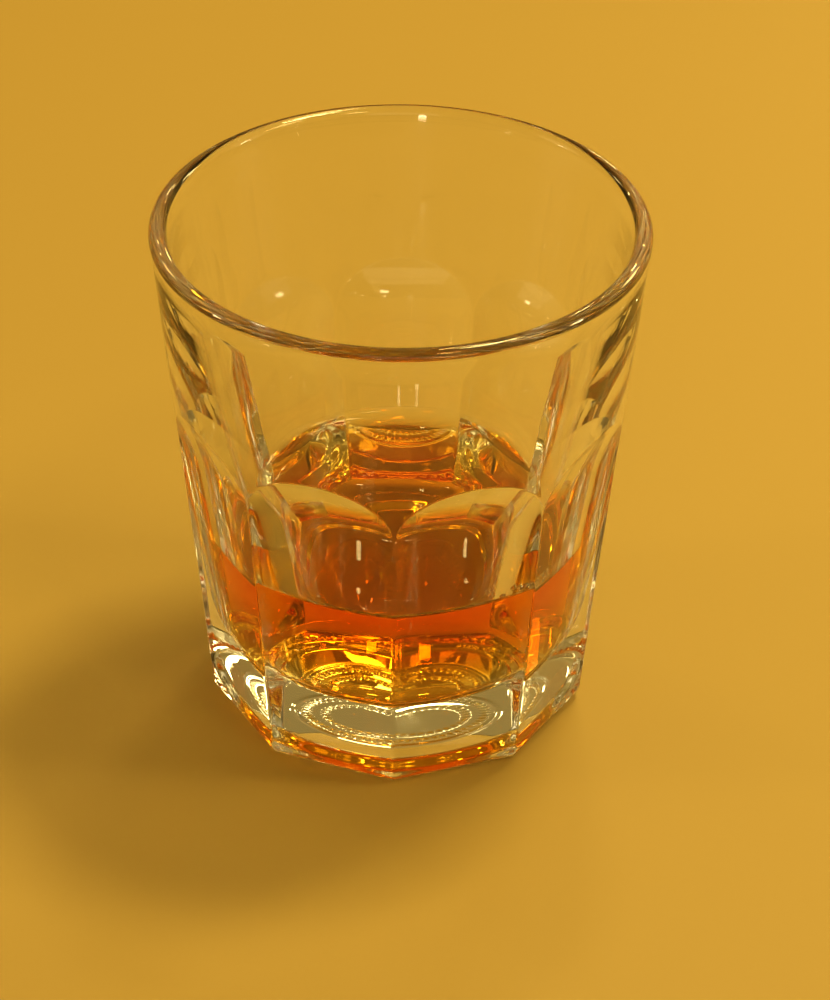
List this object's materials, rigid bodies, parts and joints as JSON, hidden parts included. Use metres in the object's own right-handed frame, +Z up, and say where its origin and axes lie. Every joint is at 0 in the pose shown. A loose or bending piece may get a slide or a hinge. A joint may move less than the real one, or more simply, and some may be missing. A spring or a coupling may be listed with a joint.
{
  "type": "glass of bourbon",
  "caption": "Short measure of amber bourbon, without ice, in a clear pressed tumbler with flat arched panels and a thick base.",
  "frame": {"origin": "centre of the foot, on the surface the tumbler stands on", "axes": "+Z up along the tumbler's axis; one ridge between two panels faces -Y"},
  "size_m": [0.086, 0.086, 0.095],
  "materials": {
    "glass": "clear, pressed and fire polished, with a stippled foot",
    "bourbon": "clear amber liquid"
  },
  "bodies": {
    "root": {"glass": "glass", "bourbon": "bourbon"}
  },
  "joints": []
}
